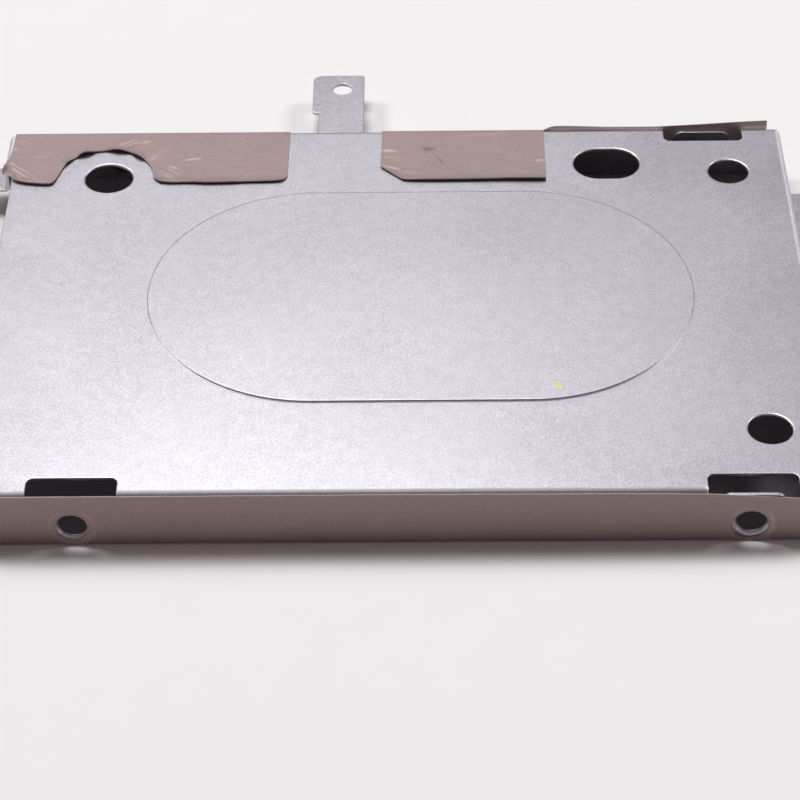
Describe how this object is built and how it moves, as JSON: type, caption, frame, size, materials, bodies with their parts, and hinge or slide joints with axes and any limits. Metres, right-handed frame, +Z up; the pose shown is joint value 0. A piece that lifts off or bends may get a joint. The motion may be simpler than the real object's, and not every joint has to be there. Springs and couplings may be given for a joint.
{
  "type": "hard drive caddy",
  "caption": "Shallow folded sheet-steel tray for a 2.5 inch drive, with a raised stadium field, screw cutouts, low bent-out ears and rear tab, and strips of fabric tape.",
  "frame": {"origin": "middle of the part's outline, on the ground plane that the walls stand on", "axes": "+Z up, out of the plate; +X from the open connector end to the end wall; +Y from the taped front wall to the rear tab"},
  "size_m": [0.112, 0.0896, 0.0082],
  "materials": {
    "steel": "galvanised, fine grain, satin",
    "tape": "woven conductive tape, matt with a slight metal sheen"
  },
  "bodies": {
    "root": {"caddy_frame": "steel", "front_tape": "tape", "rear_left_tape": "tape", "rear_right_tape": "tape"}
  },
  "joints": []
}
